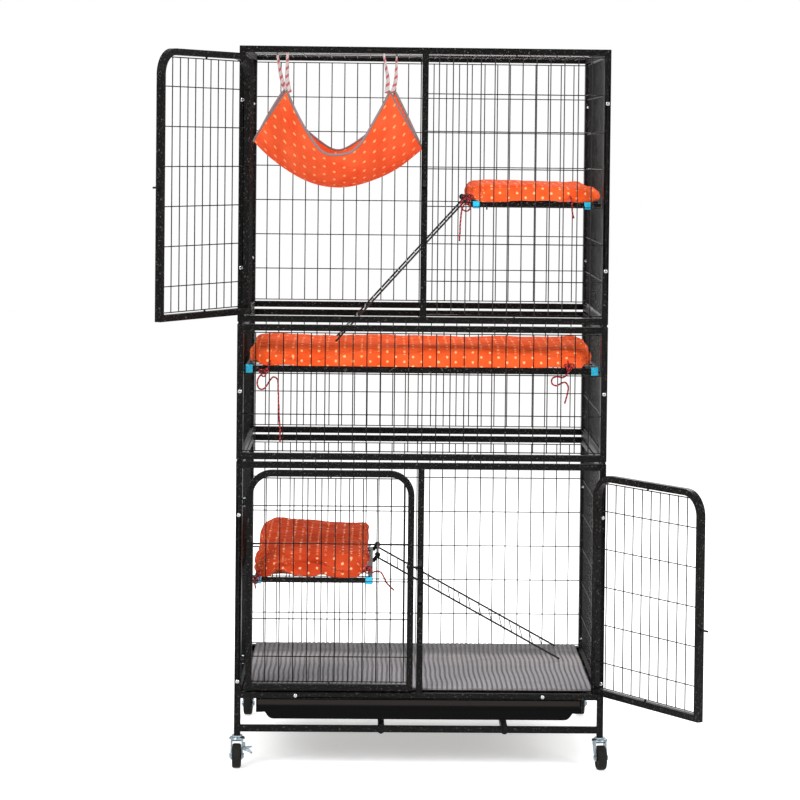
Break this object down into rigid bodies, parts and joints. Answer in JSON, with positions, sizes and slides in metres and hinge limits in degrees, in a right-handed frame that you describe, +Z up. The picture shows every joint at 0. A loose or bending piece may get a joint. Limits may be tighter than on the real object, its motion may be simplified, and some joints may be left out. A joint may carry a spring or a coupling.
{
  "type": "ferret cage",
  "caption": "Tall wheeled small-pet cage of stacked wire modules with doors, padded shelves, ramps, hammock and waste tray",
  "frame": {"origin": "on the floor under the middle of the cage footprint", "axes": "+X to the right seen from the doors, +Y to the back, +Z up"},
  "size_m": [1.0894, 0.9255, 1.485],
  "materials": {
    "frame_coat": "black hammertone powder coat",
    "wire_coat": "dark brown-black coated wire",
    "latch_steel": "black coated steel",
    "zinc": "bright zinc plate",
    "chrome": "polished",
    "mat": "ribbed grey vinyl",
    "tray": "black moulded plastic",
    "clip": "cyan moulded plastic",
    "cushion_cloth": "orange fleece with cream dots",
    "strap_web": "red and white striped webbing",
    "tie_cord": "red and black cord",
    "wheel": "matt black"
  },
  "bodies": {
    "cage": {"lower_front_frame": "frame_coat", "lower_rear_frame": "frame_coat", "lower_rear_grille": "wire_coat", "lower_left_panel": "frame_coat", "lower_right_panel": "frame_coat", "base_cross_bars": "frame_coat", "tray_runners": "frame_coat", "floor_supports": "frame_coat", "floor_grid": "wire_coat", "floor_mat": "mat", "middle_front_panel": "frame_coat", "middle_rear_panel": "frame_coat", "middle_left_panel": "frame_coat", "middle_right_panel": "frame_coat", "upper_front_frame": "frame_coat", "upper_front_grille": "wire_coat", "upper_rear_panel": "frame_coat", "upper_left_panel": "frame_coat", "upper_right_panel": "frame_coat", "roof_grille": "wire_coat", "hinge_brackets": "frame_coat", "hinge_pins": "zinc", "latch_keepers": "frame_coat", "stacking_connectors": "frame_coat", "frame_bolts": "chrome", "dome_nuts": "chrome", "upper_shelf": "frame_coat", "middle_shelf": "frame_coat", "lower_shelf": "frame_coat", "upper_cushion": "cushion_cloth", "middle_cushion": "cushion_cloth", "lower_cushion": "cushion_cloth", "shelf_clips": "clip", "hammock": "cushion_cloth", "hammock_straps": "strap_web", "caster_stems": "zinc", "upper_tie": "tie_cord", "middle_tie": "tie_cord", "lower_tie": "tie_cord"},
    "upper_left_door": {"upper_left_door": "frame_coat", "upper_left_latch_rod": "latch_steel"},
    "lower_left_door": {"lower_left_door": "frame_coat", "lower_left_latch_rod": "latch_steel"},
    "lower_right_door": {"lower_right_door": "frame_coat", "lower_right_latch_rod": "latch_steel"},
    "upper_left_gate": {"upper_left_latch_gate": "latch_steel"},
    "lower_left_gate": {"lower_left_latch_gate": "latch_steel"},
    "lower_right_gate": {"lower_right_latch_gate": "latch_steel"},
    "tray": {"waste_tray": "tray"},
    "upper_ramp": {"upper_ramp": "wire_coat"},
    "lower_ramp": {"lower_ramp": "wire_coat"},
    "brake": {"brake_pedal": "zinc"},
    "front_left_caster": {"front_left_fork": "zinc"},
    "front_left_wheel": {"front_left_wheel": "wheel"},
    "front_right_caster": {"front_right_fork": "zinc"},
    "front_right_wheel": {"front_right_wheel": "wheel"},
    "rear_left_caster": {"rear_left_fork": "zinc"},
    "rear_left_wheel": {"rear_left_wheel": "wheel"},
    "rear_right_caster": {"rear_right_fork": "zinc"},
    "rear_right_wheel": {"rear_right_wheel": "wheel"}
  },
  "joints": [
    {"name": "upper_left_door_hinge", "type": "hinge", "parent": "cage", "child": "upper_left_door", "pos_m": [-0.3633, -0.282, 1.2], "axis": [0, 0, -1], "range_deg": [-118, 57]},
    {"name": "lower_left_door_hinge", "type": "hinge", "parent": "cage", "child": "lower_left_door", "pos_m": [-0.3633, -0.282, 0.38], "axis": [0, 0, -1], "range_deg": [0, 175]},
    {"name": "lower_right_door_hinge", "type": "hinge", "parent": "cage", "child": "lower_right_door", "pos_m": [0.3633, -0.282, 0.38], "axis": [0, 0, 1], "range_deg": [-123, 52]},
    {"name": "upper_left_gate_slide", "type": "slide", "parent": "cage", "child": "upper_left_gate", "axis": [0, 0, 1], "range_m": [-0.011, 0]},
    {"name": "lower_left_gate_slide", "type": "slide", "parent": "cage", "child": "lower_left_gate", "axis": [0, 0, 1], "range_m": [-0.011, 0]},
    {"name": "lower_right_gate_slide", "type": "slide", "parent": "cage", "child": "lower_right_gate", "axis": [0, 0, 1], "range_m": [-0.011, 0]},
    {"name": "tray_slide", "type": "slide", "parent": "cage", "child": "tray", "axis": [0, -1, 0], "range_m": [0, 0.4]},
    {"name": "upper_ramp_lift", "type": "hinge", "parent": "cage", "child": "upper_ramp", "pos_m": [0.08665, -0.0625, 1.1749], "axis": [0, 1, 0], "range_deg": [0, 30]},
    {"name": "lower_ramp_lift", "type": "hinge", "parent": "cage", "child": "lower_ramp", "pos_m": [-0.08815, 0.1395, 0.3917], "axis": [0, -1, 0], "range_deg": [0, 35]},
    {"name": "front_left_swivel", "type": "hinge", "parent": "cage", "child": "front_left_caster", "pos_m": [-0.3745, -0.2735, 0.06], "axis": [0, 0, 1], "continuous": true},
    {"name": "front_left_roll", "type": "hinge", "parent": "front_left_caster", "child": "front_left_wheel", "pos_m": [-0.3745, -0.2875, 0.025], "axis": [1, 0, 0], "continuous": true},
    {"name": "front_right_swivel", "type": "hinge", "parent": "cage", "child": "front_right_caster", "pos_m": [0.3745, -0.2735, 0.06], "axis": [0, 0, 1], "continuous": true},
    {"name": "front_right_roll", "type": "hinge", "parent": "front_right_caster", "child": "front_right_wheel", "pos_m": [0.37645, -0.28736, 0.025], "axis": [0.9903, 0.1392, 0], "continuous": true},
    {"name": "rear_left_swivel", "type": "hinge", "parent": "cage", "child": "rear_left_caster", "pos_m": [-0.3745, 0.2735, 0.06], "axis": [0, 0, 1], "continuous": true},
    {"name": "rear_left_roll", "type": "hinge", "parent": "rear_left_caster", "child": "rear_left_wheel", "pos_m": [-0.37548, 0.25953, 0.025], "axis": [0.9976, -0.0698, 0], "continuous": true},
    {"name": "rear_right_swivel", "type": "hinge", "parent": "cage", "child": "rear_right_caster", "pos_m": [0.3745, 0.2735, 0.06], "axis": [0, 0, 1], "continuous": true},
    {"name": "rear_right_roll", "type": "hinge", "parent": "rear_right_caster", "child": "rear_right_wheel", "pos_m": [0.37645, 0.28736, 0.025], "axis": [-0.9903, 0.1392, 0], "continuous": true},
    {"name": "brake_rock", "type": "hinge", "parent": "front_left_caster", "child": "brake", "pos_m": [-0.3571, -0.2808, 0.038], "axis": [0, 1, 0], "range_deg": [0, 12]}
  ]
}
